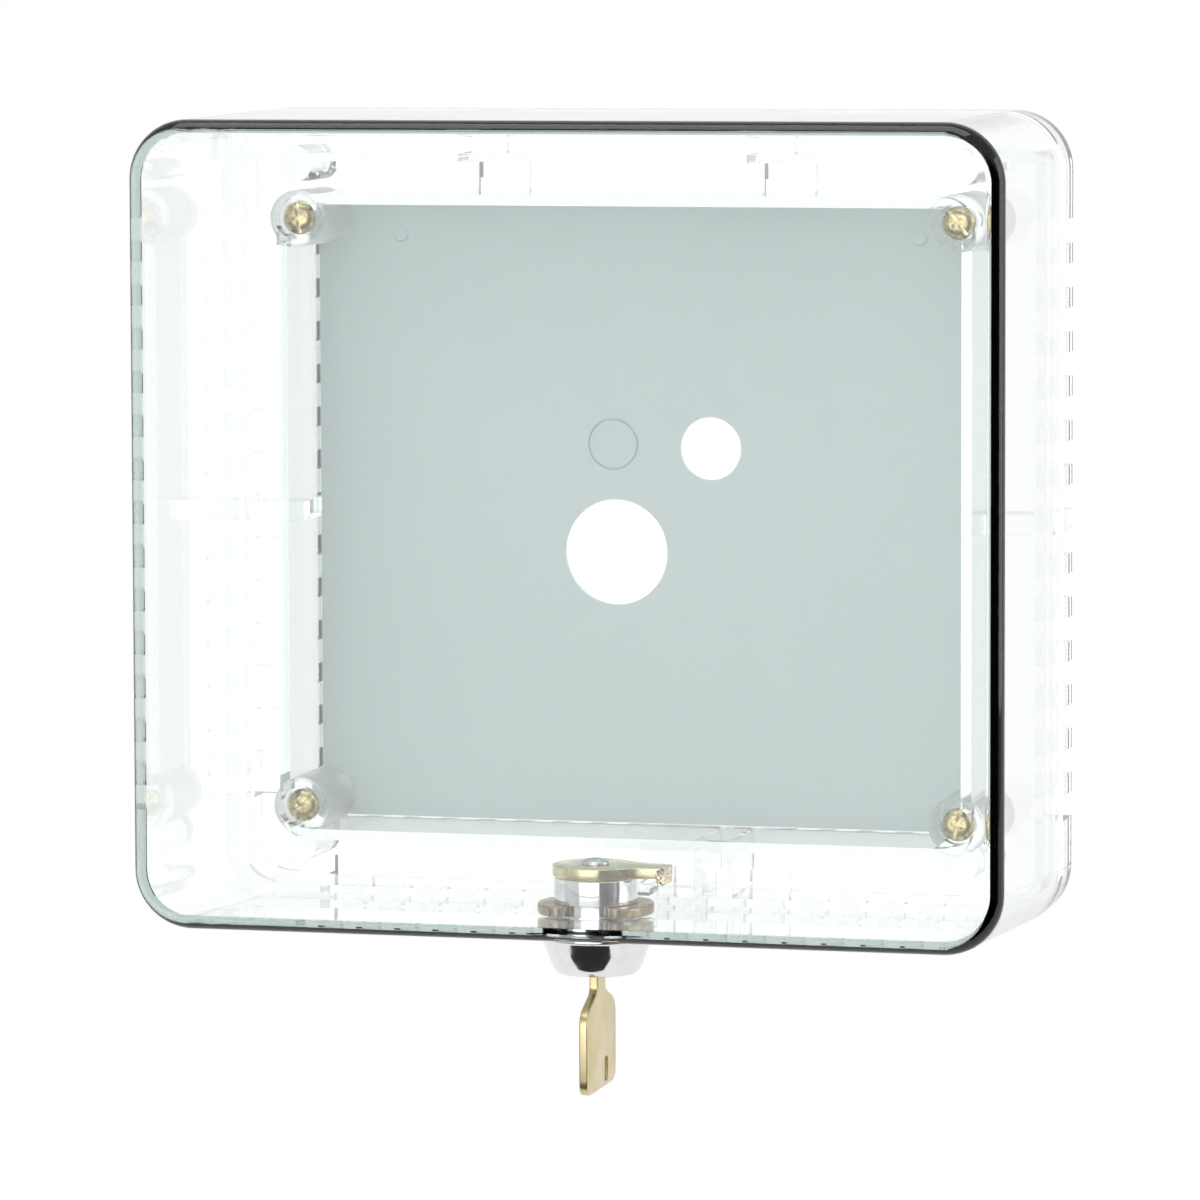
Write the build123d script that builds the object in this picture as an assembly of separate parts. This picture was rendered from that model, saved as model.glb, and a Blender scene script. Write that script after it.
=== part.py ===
from build123d import *
import math
import os

# Thermostat lock box: clear cover over a clear vented ring and an opaque wall plate.
# Millimetres. Origin on the wall face, at the centre of the plate. -Y towards the viewer, +Z up.
# "stand" is a height off the wall, so a point at stand s has Y = -s.

# ---- outline at the wall ----
CASE_W = 187.3  # width across the ring and the cover's rear rim
CASE_H = 175.3
CASE_R = 12.6  # corner radius
CASE_D = 79.4  # wall face to the cover's front face
WELD = 0.4  # depth that joined features run into each other

# ---- cover ----
COVER_WALL = 3.0
COVER_FACE = 2.8
FRONT_SIDE_SET = 0.15  # front outline inside the rear one, each side
FRONT_TOP_SET = 0.7
FRONT_LOW_SET = 3.8
COVER_EDGE_R = 3.4  # outer front edge
PARTING_GAP = 0.6  # cover rim to ring ledge
HOOK_X = 32.0  # hinge hooks each side of the middle
HOOK_W = 7.6
HOOK_T = 2.4
HOOK_DROP = 8.4  # below the cover's top wall
HOOK_SET = 0.5  # hook set in from the rim

# ---- ring ----
RING_D = 24.5  # wall face to the top of the raised wall
RING_WALL = 2.3
LEDGE = 9.8  # stand of the ledge under the cover's rim
LEDGE_T = 2.2
FLOOR_T = 2.4
INSERT_SIDE_SET = 4.3  # raised wall inside the outline
INSERT_TOP_SET = 9.2
INSERT_LOW_SET = 4.5
INSERT_T = 1.8
INSERT_TOP_R = 2.6
INSERT_LOW_R = 8.0
SIDE_CHANNEL = 10.75  # raised wall to the wall round the plate
TOP_CHANNEL = 7.0
LOW_CHANNEL = 10.0
WINDOW_R = 4.0  # corners of the opening over the plate
INNER_RISE = 25.3  # height of the wall round the plate
SIDE_VENTS = 14
SIDE_VENT_H = 5.3
SIDE_VENT_PITCH = 9.52
LOWER_VENTS = 17
LOWER_VENT_W = 5.0
LOWER_VENT_PITCH = 8.6
VENT_REACH = 9.8  # vents run in from the outline
VENT_SPILL = 3.0
MID_RIB_T = 4.4
MID_RIB_RISE = 12.0
POCKET_W = 10.2  # clear width behind a hinge hook
POCKET_LOW = 5.2  # pocket's lower edge above the opening's top edge
POCKET_RIB_T = 1.4
POCKET_RISE = 7.0
HOOK_SLOT_RISE = 9.0  # slot's height above the ledge
BRACE_X = 19.8
BRACE_W = 8.6
BRACE_T = 1.6
BRACE_RISE = 23.0
POST_R = 4.1
POST_RISE = 23.0
POST_SIDE_IN = 3.2  # post's middle off the outer face of the wall round the plate
POST_TOP_OUT = 6.3
POST_LOW_OUT = 1.6

# ---- plate ----
PLATE_T = 1.5
PLATE_FIT = 0.3
PLATE_R = 3.5
BIG_HOLE_R = 11.6
BIG_HOLE = (-7.0, -8.4)
SMALL_HOLE_R = 6.9
SMALL_HOLE = (14.2, 14.6)
KNOCKOUT_R = 5.7
KNOCKOUT = (-7.5, 15.3)
KNOCKOUT_LINE = 0.5
PIP_R = 1.9
PIP_TOP_R = 1.5
PIP_RISE = 0.5
PIP_X = (-55.5, 60.6)
PIP_TOP_IN = 7.3  # below the opening's top edge

# ---- screws ----
SCREW_SIDE_IN = 1.5  # screw's middle inside the opening's edges
SCREW_TOP_IN = 3.2
SCREW_LOW_IN = 4.6
SCREW_SEAT = 19.8  # stand under the head
SCREW_HEAD_R = 3.6
SCREW_HEAD_T = 2.4
SCREW_NECK_R = 2.1  # in the boss
SCREW_NECK_OUT = 1.0  # neck past the wall face
SCREW_SHANK_R = 1.9  # past the neck
SCREW_OUT = 10.0  # tip past the wall face
SLOT_W = 0.9
SLOT_DEPTH = 1.1
BOSS_R = 6.2
BOSS_BORE_FIT = 0.3
BOSS_LIP = 2.2  # boss wall above the head's seat
BOSS_FIT = 0.5

# ---- lock ----
LOCK_STAND = 47.4  # lock axis off the wall
BARREL_R = 8.9
BARREL_FIT = 0.15
PAD_MARGIN = 0.6  # pad past the bezel
PAD_OUT = 0.1
BEZEL_R = 12.0
BEZEL_WAIST_R = 10.2
BEZEL_END_R = 8.4
BEZEL_H = 8.4
BEZEL_NOSE = 3.0  # height of the steeper end
CLIP_T = 2.2
CLIP_R = 12.4
CLIP_NECK_R = 7.9
CLIP_FIT = 0.1
CLIP_MOUTH = 13.0
CLIP_CURL_R = 1.7
PLUG_R = 6.2
RUN_FIT = 0.05  # radial running clearance
PLUG_FACE_SET = 0.25  # face in from the bezel's end
PLUG_END_GAP = 0.15
TANG = 5.0  # square drive for the cam
TANG_FIT = 0.1
KEYWAY_W = 2.6
KEYWAY_D = 7.8
KEYWAY_LEN = 17.6

# ---- cam ----
CAM_RISE = 11.8  # cam above the cover's lower face at the lock
CAM_R = 9.3
CAM_T = 2.3
CAM_ARM = 15.9  # axis to the arm's end
CAM_END_W = 8.0
CAM_LIP_T = 2.0
CAM_LIP_DROP = 1.4
CAM_TEETH = 5
CAM_TOOTH = 0.7
CAM_SCREW_R = 3.0
CAM_SCREW_T = 1.3
CAM_SCREW_BORE_R = 1.5
CAM_SCREW_LEN = 5.0
CAM_SCREW_SLOT = 0.8
CAM_SCREW_SLOT_DEPTH = 0.7

# ---- keeper that the cam hooks behind ----
KEEPER_W = 8.0
KEEPER_FOOT_W = 12.0
KEEPER_T = 2.0
KEEPER_SEAT = 8.0  # reach of the seat down the raised wall
KEEPER_LIFT = 0.5  # foot above the clip
KEEPER_FIT = 0.6  # lip inside the sweep of the cam's lip
KEEPER_GAP = 0.5  # lip below the cam's arm

# ---- key ----
KEY_T = 1.9
KEY_BLADE_W = 6.6
KEY_BLADE_LEN = 15.6
KEY_NECK = 7.5  # lock face to the bow's full width
KEY_BOW_W = 24.6
KEY_BOW_H = 17.5
KEY_BOW_R = 3.2
KEY_SHOULDER = 3.6
KEY_SLOT_W = 5.2
KEY_SLOT_H = 2.4
KEY_SLOT_UP = 3.6
KEY_SLOT_OUT = 4.1  # slot off the key's middle
KEY_CUTS = ((2.6, 1.1), (5.4, 2.0), (8.2, 0.8), (11.0, 1.7))
KEY_CUT_SIDE = 0.8  # side of a cut's square for each mm of its depth

# ---- places that follow ----
SIDE_RUN = INSERT_SIDE_SET + INSERT_T + SIDE_CHANNEL  # outline to the wall round the plate
TOP_RUN = INSERT_TOP_SET + INSERT_T + TOP_CHANNEL
LOW_RUN = INSERT_LOW_SET + INSERT_T + LOW_CHANNEL
FRAME_X = CASE_W / 2 - SIDE_RUN  # outer faces of the wall round the plate
FRAME_Z = (CASE_H - TOP_RUN - LOW_RUN) / 2
WINDOW_X = FRAME_X - RING_WALL  # edges of the opening over the plate
WINDOW_Z = FRAME_Z - RING_WALL
CASE_TOP = FRAME_Z + TOP_RUN
CASE_LOW = -FRAME_Z - LOW_RUN
CASE_Z = (CASE_TOP + CASE_LOW) / 2
COVER_REAR = LEDGE + PARTING_GAP  # stand of the cover's rear rim
COVER_D = CASE_D - COVER_REAR
LOCK_Y = -LOCK_STAND


def low_face(stand):
    return CASE_LOW + FRONT_LOW_SET * (stand - COVER_REAR) / COVER_D


def top_face(stand):
    return CASE_TOP - FRONT_TOP_SET * (stand - COVER_REAR) / COVER_D


def side_face(stand):
    return CASE_W / 2 - FRONT_SIDE_SET * (stand - COVER_REAR) / COVER_D


PAD_R = BEZEL_R + PAD_MARGIN
PAD_LOW = low_face(LOCK_STAND - PAD_R) - PAD_OUT
BEZEL_LOW = PAD_LOW - BEZEL_H
CLIP_LOW = low_face(LOCK_STAND + CLIP_R) + COVER_WALL + CLIP_FIT
CLIP_TOP = CLIP_LOW + CLIP_T
CAM_LOW = low_face(LOCK_STAND) + CAM_RISE
BARREL_TOP = CAM_LOW - PLUG_END_GAP
BOSS_BORE_R = SCREW_NECK_R + BOSS_BORE_FIT


def sheet(width, height, radius, stand, centre_z=0.0):
    plane = Plane.XZ.offset(stand)
    return plane * Pos(0, centre_z) * RectangleRounded(width, height, radius)


def slab(width, height, radius, stand, depth, centre_z=0.0):
    return extrude(sheet(width, height, radius, stand, centre_z), amount=depth)


def block(x_low, x_high, stand_low, stand_high, z_low, z_high):
    centre = ((x_low + x_high) / 2, -(stand_low + stand_high) / 2, (z_low + z_high) / 2)
    return Pos(*centre) * Box(x_high - x_low, stand_high - stand_low, z_high - z_low)


def rod(x, z, radius, stand_low, stand_high):
    return Pos(x, -(stand_low + stand_high) / 2, z) * Rot(90, 0, 0) * Cylinder(radius, stand_high - stand_low)


def pillar(x, y, radius, z_low, z_high):
    return Pos(x, y, (z_low + z_high) / 2) * Cylinder(radius, z_high - z_low)


def cover_body(inset, front):
    side_points = [(-s, low_face(s) + inset) for s in (COVER_REAR, front)]
    side_points += [(-s, top_face(s) - inset) for s in (front, COVER_REAR)]
    body = extrude(make_face(Plane.YZ * Polyline(*side_points, close=True)), amount=CASE_W, both=True)
    top_points = [(side_face(s) - inset, -s) for s in (COVER_REAR, front)]
    top_points += [(inset - side_face(s), -s) for s in (front, COVER_REAR)]
    body &= extrude(make_face(Polyline(*top_points, close=True)), amount=CASE_H, both=True)
    return fillet(body.edges().group_by(Axis.Y)[1], CASE_R - inset)


def insert_sheet(stand, inset):
    half = CASE_W / 2 - INSERT_SIDE_SET - inset
    top = CASE_TOP - INSERT_TOP_SET - inset
    low = CASE_LOW + INSERT_LOW_SET + inset
    outline = Pos(0, (top + low) / 2) * Rectangle(2 * half, top - low)
    by_height = outline.vertices().group_by(Axis.Y)
    outline = fillet(by_height[0], INSERT_LOW_R - inset)
    by_height = outline.vertices().group_by(Axis.Y)
    outline = fillet(by_height[-1], INSERT_TOP_R - inset)
    return Plane.XZ.offset(stand) * outline


def screw_points():
    x = WINDOW_X - SCREW_SIDE_IN
    heights = (SCREW_LOW_IN - WINDOW_Z, WINDOW_Z - SCREW_TOP_IN)
    return [(side * x, z) for side in (-1, 1) for z in heights]


def post_points():
    x = FRAME_X - POST_SIDE_IN
    heights = (-FRAME_Z - POST_LOW_OUT, FRAME_Z + POST_TOP_OUT)
    return [(side * x, z) for side in (-1, 1) for z in heights]


def make_cover():
    outer = cover_body(0, CASE_D)
    outer = fillet(outer.edges().group_by(Axis.Y)[0], COVER_EDGE_R)
    shell = outer - cover_body(COVER_WALL, CASE_D - COVER_FACE)
    for x in (-HOOK_X, HOOK_X):
        shell += make_hook(x)
    shell += pillar(0, LOCK_Y, PAD_R, PAD_LOW, low_face(LOCK_STAND) + COVER_WALL / 2)
    return shell - pillar(0, LOCK_Y, BARREL_R + BARREL_FIT, PAD_LOW - WELD, CLIP_LOW)


def make_hook(x):
    root_z = CASE_TOP - COVER_WALL
    near = COVER_REAR + HOOK_SET
    tip_z = root_z - HOOK_DROP
    half = HOOK_W / 2
    tongue = block(x - half, x + half, near, near + HOOK_T, tip_z + HOOK_T / 2, root_z + WELD)
    bead = Pos(x, -(near + HOOK_T / 2), tip_z + HOOK_T / 2) * Rot(0, 90, 0) * Cylinder(HOOK_T / 2, HOOK_W)
    return tongue + bead


def make_ring():
    floor = slab(CASE_W, CASE_H, CASE_R, 0, FLOOR_T, CASE_Z)
    skirt = slab(CASE_W, CASE_H, CASE_R, 0, LEDGE, CASE_Z)
    skirt_in = (CASE_W - 2 * RING_WALL, CASE_H - 2 * RING_WALL, CASE_R - RING_WALL)
    skirt -= slab(*skirt_in, FLOOR_T, LEDGE - LEDGE_T - FLOOR_T, CASE_Z)
    skirt -= extrude(insert_sheet(FLOOR_T, INSERT_T), amount=LEDGE)
    insert = extrude(insert_sheet(FLOOR_T - WELD, 0), amount=RING_D - FLOOR_T + WELD)
    insert -= extrude(insert_sheet(0, INSERT_T), amount=RING_D + WELD)
    wall = slab(2 * FRAME_X, 2 * FRAME_Z, WINDOW_R + RING_WALL, 0, INNER_RISE)
    ring = floor + skirt + insert + wall
    ring -= slab(2 * WINDOW_X, 2 * WINDOW_Z, WINDOW_R, -WELD, INNER_RISE + 2 * WELD)
    ring += make_ribs()
    ring += make_bosses()
    ring -= make_boss_bores()
    ring -= make_vents()
    return ring - make_hook_slots()


def make_ribs():
    side_in = FRAME_X - WELD
    side_out = FRAME_X + SIDE_CHANNEL + WELD
    top_in = FRAME_Z - WELD
    top_out = FRAME_Z + TOP_CHANNEL + WELD
    low_in = WELD - FRAME_Z
    low_out = -FRAME_Z - LOW_CHANNEL - WELD
    low_floor = FLOOR_T - WELD
    half = MID_RIB_T / 2
    ribs = block(side_in, side_out, low_floor, MID_RIB_RISE, -half, half)
    ribs += block(-side_out, -side_in, low_floor, MID_RIB_RISE, -half, half)
    for x in (-HOOK_X, HOOK_X):
        for side in (-1, 1):
            mid = x + side * (POCKET_W + POCKET_RIB_T) / 2
            thick = POCKET_RIB_T / 2
            ribs += block(mid - thick, mid + thick, low_floor, POCKET_RISE, top_in, top_out)
    reach = BRACE_W / 2
    ribs += block(BRACE_X - reach, BRACE_X + reach, low_floor, BRACE_RISE, low_out, low_in)
    inner = reach - BRACE_T
    ribs -= block(BRACE_X - inner, BRACE_X + inner, low_floor, BRACE_RISE - BRACE_T, low_out, low_in)
    return ribs


def make_bosses():
    bosses = Part()
    for x, z in screw_points():
        bosses += rod(x, z, BOSS_R, PLATE_T + PLATE_FIT, SCREW_SEAT + BOSS_LIP)
    for x, z in post_points():
        bosses += rod(x, z, POST_R, FLOOR_T - WELD, POST_RISE)
    return bosses


def make_boss_bores():
    bores = Part()
    for x, z in screw_points():
        bores += rod(x, z, BOSS_BORE_R, -WELD, SCREW_SEAT + WELD)
        bores += rod(x, z, SCREW_HEAD_R + BOSS_FIT, SCREW_SEAT, INNER_RISE + WELD)
    return bores


def make_vents():
    vents = Part()
    x_in = CASE_W / 2 - VENT_REACH
    x_out = CASE_W / 2 + VENT_SPILL
    for i in range(SIDE_VENTS):
        mid = CASE_Z + (i - (SIDE_VENTS - 1) / 2) * SIDE_VENT_PITCH
        low, high = mid - SIDE_VENT_H / 2, mid + SIDE_VENT_H / 2
        vents += block(x_in, x_out, -WELD, LEDGE + WELD, low, high)
        vents += block(-x_out, -x_in, -WELD, LEDGE + WELD, low, high)
    z_in = CASE_LOW + VENT_REACH
    z_out = CASE_LOW - VENT_SPILL
    for i in range(LOWER_VENTS):
        mid = (i - (LOWER_VENTS - 1) / 2) * LOWER_VENT_PITCH
        low, high = mid - LOWER_VENT_W / 2, mid + LOWER_VENT_W / 2
        vents += block(low, high, -WELD, LEDGE - LEDGE_T, z_out, z_in)
    return vents


def make_hook_slots():
    slots = Part()
    z_out = FRAME_Z + TOP_CHANNEL + INSERT_T + WELD
    z_in = FRAME_Z + TOP_CHANNEL - WELD
    z_low = WINDOW_Z + POCKET_LOW
    half = POCKET_W / 2
    for x in (-HOOK_X, HOOK_X):
        slots += block(x - half, x + half, LEDGE, LEDGE + HOOK_SLOT_RISE, z_in, z_out)
        slots += block(x - half, x + half, -WELD, FLOOR_T + WELD, z_low, z_in)
    return slots


def make_keeper():
    wall_in = -FRAME_Z - LOW_CHANNEL
    foot_low = CLIP_TOP + KEEPER_LIFT
    foot_top = foot_low + KEEPER_T
    sweep = CAM_ARM - CAM_LIP_T - KEEPER_FIT
    rear = LOCK_STAND - math.sqrt(sweep**2 - (KEEPER_W / 2) ** 2)
    front = rear + KEEPER_T
    half_foot = KEEPER_FOOT_W / 2
    seat = block(-half_foot, half_foot, RING_D - KEEPER_SEAT, RING_D, wall_in, wall_in + KEEPER_T)
    riser = block(-half_foot, half_foot, RING_D - KEEPER_T, RING_D, wall_in, foot_top)
    foot = block(-half_foot, half_foot, RING_D - KEEPER_T, front, foot_low, foot_top)
    lip = block(-KEEPER_W / 2, KEEPER_W / 2, rear, front, foot_low, CAM_LOW - KEEPER_GAP)
    lip = chamfer(lip.edges().filter_by(Axis.Y).group_by(Axis.Z)[-1], KEEPER_T / 2)
    return seat + riser + foot + lip


def make_plate():
    plate = slab(2 * (WINDOW_X - PLATE_FIT), 2 * (WINDOW_Z - PLATE_FIT), PLATE_R, 0, PLATE_T)
    for x in PIP_X:
        pip = Cone(PIP_R, PIP_TOP_R, PIP_RISE + WELD)
        plate += Pos(x, -PLATE_T - (PIP_RISE - WELD) / 2, WINDOW_Z - PIP_TOP_IN) * Rot(90, 0, 0) * pip
    for (x, z), radius in ((BIG_HOLE, BIG_HOLE_R), (SMALL_HOLE, SMALL_HOLE_R)):
        plate -= rod(x, z, radius, -WELD, PLATE_T + WELD)
    for x, z in screw_points():
        plate -= rod(x, z, BOSS_BORE_R, -WELD, PLATE_T + WELD)
    line = rod(*KNOCKOUT, KNOCKOUT_R, PLATE_T - KNOCKOUT_LINE, PLATE_T + WELD)
    line -= rod(*KNOCKOUT, KNOCKOUT_R - KNOCKOUT_LINE, 0, PLATE_T + 2 * WELD)
    return plate - line


def make_screw(x, z):
    top = SCREW_SEAT + SCREW_HEAD_T
    head = rod(x, z, SCREW_HEAD_R, SCREW_SEAT, top)
    neck = rod(x, z, SCREW_NECK_R, -SCREW_NECK_OUT, SCREW_SEAT + WELD)
    shank = rod(x, z, SCREW_SHANK_R, -SCREW_OUT, -SCREW_NECK_OUT + WELD)
    slot = Pos(x, -(top - SLOT_DEPTH / 2), z) * Box(2 * SCREW_HEAD_R + WELD, SLOT_DEPTH, SLOT_W)
    return head + neck + shank - slot


def make_screws():
    return Compound(children=[make_screw(x, z) for x, z in screw_points()])


def turned(points):
    outline = Polyline(*points, close=True)
    face = make_face(Plane.XZ * outline)
    return Pos(0, LOCK_Y, 0) * revolve(face, Axis.Z)


def make_housing():
    bore = PLUG_R + RUN_FIT
    neck = CLIP_NECK_R - CLIP_FIT
    clip_top = CLIP_TOP + CLIP_FIT
    points = (
        (bore, BEZEL_LOW),
        (BEZEL_END_R, BEZEL_LOW),
        (BEZEL_WAIST_R, BEZEL_LOW + BEZEL_NOSE),
        (BEZEL_R, PAD_LOW),
        (BARREL_R, PAD_LOW),
        (BARREL_R, CLIP_LOW),
        (neck, CLIP_LOW),
        (neck, clip_top),
        (BARREL_R, clip_top),
        (BARREL_R, BARREL_TOP),
        (bore, BARREL_TOP),
    )
    return turned(points)


def make_clip():
    clip = pillar(0, LOCK_Y, CLIP_R, CLIP_LOW, CLIP_TOP)
    clip -= pillar(0, LOCK_Y, CLIP_NECK_R, CLIP_LOW - WELD, CLIP_TOP + WELD)
    mouth = Pos(0, LOCK_Y - CLIP_R, (CLIP_LOW + CLIP_TOP) / 2) * Box(CLIP_MOUTH, 2 * CLIP_R, CLIP_T + 2 * WELD)
    clip -= mouth
    mid_r = (CLIP_R + CLIP_NECK_R) / 2
    turn = math.asin(CLIP_MOUTH / 2 / mid_r)
    for side in (-1, 1):
        x = side * mid_r * math.sin(turn)
        y = LOCK_Y - mid_r * math.cos(turn)
        clip += pillar(x, y, CLIP_CURL_R, CLIP_LOW, CLIP_TOP)
    return clip


def make_plug():
    body = pillar(0, LOCK_Y, PLUG_R, BEZEL_LOW + PLUG_FACE_SET, CAM_LOW)
    tang = Pos(0, LOCK_Y, CAM_LOW + CAM_T / 2) * Box(TANG, TANG, CAM_T)
    plug = body + tang
    keyway_mid = BEZEL_LOW + KEYWAY_LEN / 2
    plug -= Pos(0, LOCK_Y, keyway_mid) * Box(KEYWAY_W, KEYWAY_D, KEYWAY_LEN + WELD)
    bore_low = CAM_LOW + CAM_T - CAM_SCREW_LEN
    plug -= pillar(0, LOCK_Y, CAM_SCREW_BORE_R + TANG_FIT, bore_low - WELD, CAM_LOW + CAM_T + WELD)
    return plug


def make_cam():
    disc = pillar(0, LOCK_Y, CAM_R, CAM_LOW, CAM_LOW + CAM_T)
    lean = math.asin((CAM_R - CAM_END_W / 2) / CAM_ARM)
    root_x = CAM_R * math.sin(lean)
    root_y = CAM_R * math.cos(lean)
    arm_points = ((root_x, -root_y), (CAM_ARM, -CAM_END_W / 2), (CAM_ARM, CAM_END_W / 2), (root_x, root_y))
    outline = make_face(Polyline(*arm_points, close=True))
    arm = Pos(0, LOCK_Y, CAM_LOW) * extrude(outline, amount=CAM_T)
    lip_h = CAM_T + CAM_LIP_DROP
    lip_mid = (CAM_ARM - CAM_LIP_T / 2, LOCK_Y, CAM_LOW + CAM_T - lip_h / 2)
    lip = Pos(*lip_mid) * Box(CAM_LIP_T, CAM_END_W, lip_h)
    cam = disc + arm + lip
    step = CAM_END_W / CAM_TEETH
    for i in range(CAM_TEETH):
        y = LOCK_Y + (i - (CAM_TEETH - 1) / 2) * step
        notch = Pos(CAM_ARM, y, lip_mid[2]) * Rot(0, 0, 45) * Box(CAM_TOOTH, CAM_TOOTH, lip_h + WELD)
        cam -= notch
        groove = Pos(CAM_ARM - CAM_LIP_T, y, CAM_LOW + CAM_T) * Rot(45, 0, 0)
        cam -= groove * Box(2 * CAM_LIP_T, CAM_TOOTH, CAM_TOOTH)
    hole = TANG + 2 * TANG_FIT
    return cam - Pos(0, LOCK_Y, CAM_LOW + CAM_T / 2) * Box(hole, hole, CAM_T + WELD)


def make_cam_screw():
    seat = CAM_LOW + CAM_T
    top = seat + CAM_SCREW_T
    head = pillar(0, LOCK_Y, CAM_SCREW_R, seat, top)
    shank = pillar(0, LOCK_Y, CAM_SCREW_BORE_R, seat - CAM_SCREW_LEN, seat + WELD)
    slot = Box(2 * CAM_SCREW_R + WELD, CAM_SCREW_SLOT, 2 * CAM_SCREW_SLOT_DEPTH)
    return head + shank - Pos(0, LOCK_Y, top) * slot


def key_plate(points):
    outline = make_face(Plane.YZ * Polyline(*[(LOCK_Y + y, z) for y, z in points], close=True))
    return extrude(outline, amount=KEY_T / 2, both=True)


def make_key():
    bow_top = BEZEL_LOW - KEY_NECK + KEY_SHOULDER
    bow_low = BEZEL_LOW - KEY_NECK - KEY_BOW_H
    half_blade = KEY_BLADE_W / 2
    half_bow = KEY_BOW_W / 2
    bow_points = (
        (-half_blade, bow_top),
        (-half_bow, bow_top - KEY_SHOULDER),
        (-half_bow, bow_low),
        (half_bow, bow_low),
        (half_bow, bow_top - KEY_SHOULDER),
        (half_blade, bow_top),
    )
    bow = key_plate(bow_points)
    bow = fillet(bow.edges().filter_by(Axis.X).group_by(Axis.Z)[0], KEY_BOW_R)
    bow = fillet(bow.edges().filter_by(Axis.X).group_by(Axis.Z)[-2], KEY_BOW_R)
    tip = BEZEL_LOW + KEY_BLADE_LEN
    nose = half_blade / 2
    blade_points = (
        (-half_blade, bow_top - WELD),
        (half_blade, bow_top - WELD),
        (half_blade, tip - nose),
        (nose, tip),
        (-nose, tip),
        (-half_blade, tip - nose),
    )
    key = bow + key_plate(blade_points)
    for along, depth in KEY_CUTS:
        side = depth * KEY_CUT_SIDE
        key -= Pos(0, LOCK_Y + half_blade, BEZEL_LOW + along) * Rot(45, 0, 0) * Box(KEY_T + WELD, side, side)
    slot_z = bow_low + KEY_SLOT_UP
    return key - Pos(0, LOCK_Y + KEY_SLOT_OUT, slot_z) * Box(KEY_T + WELD, KEY_SLOT_H, KEY_SLOT_W)


os.makedirs("parts", exist_ok=True)
export_step(make_plate(), "parts/wall_plate.step")
export_step(make_ring(), "parts/ring_base.step")
export_step(make_keeper(), "parts/lock_keeper.step")
export_step(make_screws(), "parts/mounting_screws.step")
export_step(make_cover(), "parts/cover_shell.step")
export_step(make_housing(), "parts/lock_housing.step")
export_step(make_clip(), "parts/lock_clip.step")
export_step(make_plug(), "parts/lock_plug.step")
export_step(make_cam(), "parts/lock_cam.step")
export_step(make_cam_screw(), "parts/cam_screw.step")
export_step(make_key(), "parts/key.step")
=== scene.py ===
import bpy
import bmesh
import math
import random
from mathutils import Matrix, Vector


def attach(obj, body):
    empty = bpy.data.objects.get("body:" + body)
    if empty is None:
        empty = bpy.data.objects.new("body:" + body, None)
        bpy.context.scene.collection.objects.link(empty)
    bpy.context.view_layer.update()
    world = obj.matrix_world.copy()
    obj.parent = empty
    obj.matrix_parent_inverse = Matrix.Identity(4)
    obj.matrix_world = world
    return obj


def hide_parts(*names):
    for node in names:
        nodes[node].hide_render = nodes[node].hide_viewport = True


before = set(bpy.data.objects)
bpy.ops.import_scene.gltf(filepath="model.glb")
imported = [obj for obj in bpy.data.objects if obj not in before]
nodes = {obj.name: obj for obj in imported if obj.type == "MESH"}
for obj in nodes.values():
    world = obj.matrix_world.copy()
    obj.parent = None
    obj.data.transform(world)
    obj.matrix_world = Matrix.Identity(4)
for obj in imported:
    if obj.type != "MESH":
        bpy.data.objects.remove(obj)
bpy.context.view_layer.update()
print("frame loaded:", len(nodes), "nodes")


# short ways to make and join shader nodes

def feed(tree, socket, value):  # links another node's socket, or sets a plain value
    if isinstance(value, bpy.types.NodeSocket):
        tree.links.new(value, socket)
    else:
        socket.default_value = value


def mathStep(tree, kind, first, second=None, third=None):
    step = tree.nodes.new("ShaderNodeMath")
    step.operation = kind
    for socket, value in zip(step.inputs, (first, second, third)):
        if value is not None:
            feed(tree, socket, value)
    return step.outputs["Value"]


def rangeStep(tree, value, start, stop, low=0.0, high=1.0, kind="LINEAR"):
    step = tree.nodes.new("ShaderNodeMapRange")
    step.interpolation_type = kind
    feed(tree, step.inputs["Value"], value)
    feed(tree, step.inputs["From Min"], start)
    feed(tree, step.inputs["From Max"], stop)
    feed(tree, step.inputs["To Min"], low)
    feed(tree, step.inputs["To Max"], high)
    return step.outputs["Result"]


def noiseStep(tree, size, detail):  # noise that stays with the object
    place = tree.nodes.new("ShaderNodeTexCoord")
    step = tree.nodes.new("ShaderNodeTexNoise")
    tree.links.new(place.outputs["Object"], step.inputs["Vector"])
    feed(tree, step.inputs["Scale"], size)
    feed(tree, step.inputs["Detail"], detail)
    return step.outputs["Fac"]


def mixColors(tree, share, first, second):
    mix = tree.nodes.new("ShaderNodeMix")
    mix.data_type = "RGBA"
    feed(tree, mix.inputs["Factor"], share)
    feed(tree, mix.inputs["A"], first)
    feed(tree, mix.inputs["B"], second)
    return mix.outputs["Result"]


def mixShaders(tree, share, first, second):
    mix = tree.nodes.new("ShaderNodeMixShader")
    tree.links.new(share, mix.inputs["Fac"])
    tree.links.new(first, mix.inputs[1])
    tree.links.new(second, mix.inputs[2])
    return mix.outputs["Shader"]


def newMaterial(name):
    material = bpy.data.materials.new(name)
    material.use_nodes = True
    tree = material.node_tree
    return material, tree, tree.nodes["Principled BSDF"]


def addBump(tree, source, shader, strength, distance):
    bump = tree.nodes.new("ShaderNodeBump")
    bump.inputs["Strength"].default_value = strength
    bump.inputs["Distance"].default_value = distance
    tree.links.new(source, bump.inputs["Height"])
    tree.links.new(bump.outputs["Normal"], shader.inputs["Normal"])


# shader groups that several materials share

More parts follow.
